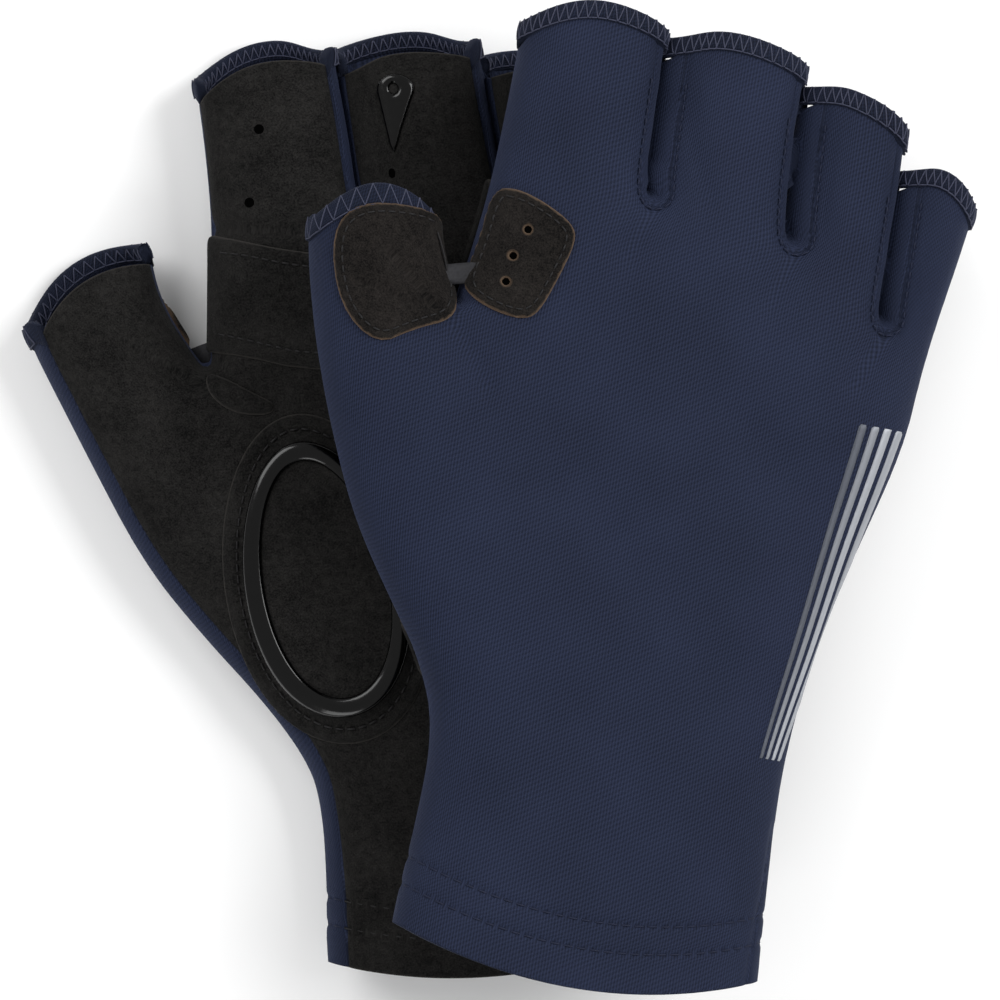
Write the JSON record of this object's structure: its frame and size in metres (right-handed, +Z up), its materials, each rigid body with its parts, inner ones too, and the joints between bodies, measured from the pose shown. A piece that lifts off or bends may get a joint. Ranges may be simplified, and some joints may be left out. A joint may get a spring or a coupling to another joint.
{
  "type": "sailing gloves",
  "caption": "Pair of short-finger sailing gloves: navy stretch back, black suede palm with a padded oval and silicone grip, overlocked finger openings, lying one over the other.",
  "frame": {"origin": "on the surface that the pair lies on, under the middle of the pair's box", "axes": "+Y from the wrists to the fingers, +Z up from the surface, +X towards the little-finger side of both gloves"},
  "size_m": [0.1966, 0.1984, 0.052],
  "materials": {
    "stretch_fabric": "navy four-way stretch knit with a fine rib, matt with a soft sheen",
    "hem_fabric": "the same navy knit, rolled and overlocked with navy thread",
    "thread": "twisted navy polyester thread",
    "palm_suede": "black synthetic suede, short nap, matt",
    "patch_suede": "black synthetic suede with brownish, worn cut edges",
    "web_elastic": "dark grey knitted elastic",
    "foam": "soft closed-cell foam, hidden",
    "silicone": "glossy black printed silicone",
    "reflective_print": "silver-grey reflective film, plain tapered stripes"
  },
  "bodies": {
    "left_glove": {"left_back_panel": "stretch_fabric", "left_cuff_hem": "stretch_fabric", "left_cuff_stitching": "thread", "left_finger_grips": "silicone", "left_fourchette_index_middle": "stretch_fabric", "left_fourchette_middle_ring": "stretch_fabric", "left_fourchette_ring_little": "stretch_fabric", "left_index_band": "patch_suede", "left_index_hem": "hem_fabric", "left_index_patch": "patch_suede", "left_little_hem": "hem_fabric", "left_middle_hem": "hem_fabric", "left_palm_grip_ring": "silicone", "left_palm_pad_cover": "palm_suede", "left_palm_pad_foam": "foam", "left_palm_panel": "palm_suede", "left_ring_hem": "hem_fabric", "left_side_stripes": "reflective_print", "left_thumb_hem": "hem_fabric", "left_thumb_patch": "patch_suede", "left_web_strip": "web_elastic"},
    "right_glove": {"right_back_panel": "stretch_fabric", "right_cuff_hem": "stretch_fabric", "right_cuff_stitching": "thread", "right_finger_grips": "silicone", "right_fourchette_index_middle": "stretch_fabric", "right_fourchette_middle_ring": "stretch_fabric", "right_fourchette_ring_little": "stretch_fabric", "right_index_band": "patch_suede", "right_index_hem": "hem_fabric", "right_index_patch": "patch_suede", "right_little_hem": "hem_fabric", "right_middle_hem": "hem_fabric", "right_palm_grip_ring": "silicone", "right_palm_pad_cover": "palm_suede", "right_palm_pad_foam": "foam", "right_palm_panel": "palm_suede", "right_ring_hem": "hem_fabric", "right_side_stripes": "reflective_print", "right_thumb_hem": "hem_fabric", "right_thumb_patch": "patch_suede", "right_web_strip": "web_elastic"}
  },
  "joints": [
    {"name": "right_glove_lift", "type": "slide", "parent": "left_glove", "child": "right_glove", "axis": [0, 0, 1], "range_m": [0, 0.12]}
  ]
}
